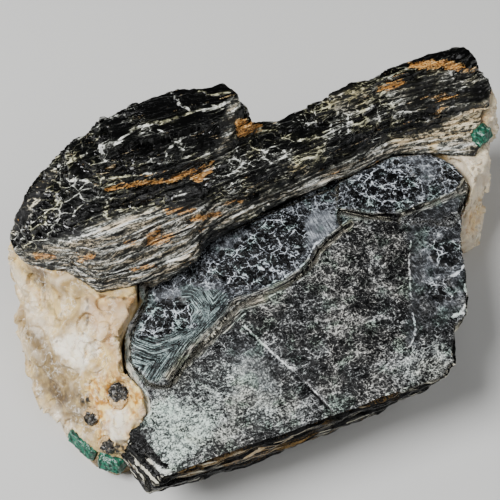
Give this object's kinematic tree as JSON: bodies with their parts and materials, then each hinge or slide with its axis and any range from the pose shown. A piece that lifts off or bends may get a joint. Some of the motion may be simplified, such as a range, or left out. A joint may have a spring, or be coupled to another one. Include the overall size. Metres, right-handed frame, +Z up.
{
  "type": "phlogopite specimen",
  "caption": "Mineral hand specimen: dark mica book with a broad cleavage face, foliated mica schist rising in ledges to two lobes, cream quartz at both ends and small green beryl.",
  "frame": {"origin": "centre of the bounding box at the level of the face that the specimen rests on", "axes": "+X along the foliation, the longest way, to the end with the smaller quartz lump; +Y from the cleavage face to the two lobes at the back; +Z up"},
  "size_m": [0.1112, 0.0752, 0.0376],
  "materials": {
    "phlogopite_book": "glossy black mica cleavage with pearly silver cracks",
    "phlogopite_schist": "foliated black mica with silver edges and orange iron stain, satin",
    "quartz": "cream translucent quartz, broken faces, semi-gloss",
    "beryl": "green beryl, glassy",
    "mica_flake": "dark brown mica flake, glossy"
  },
  "bodies": {
    "root": {"phlogopite_book": "phlogopite_book", "phlogopite_schist": "phlogopite_schist", "quartz_left": "quartz", "quartz_right": "quartz", "beryl_front": "beryl", "beryl_corner": "beryl", "beryl_right": "beryl", "mica_flake_upper": "mica_flake", "mica_flake_middle": "mica_flake", "mica_flake_lower": "mica_flake"}
  },
  "joints": []
}
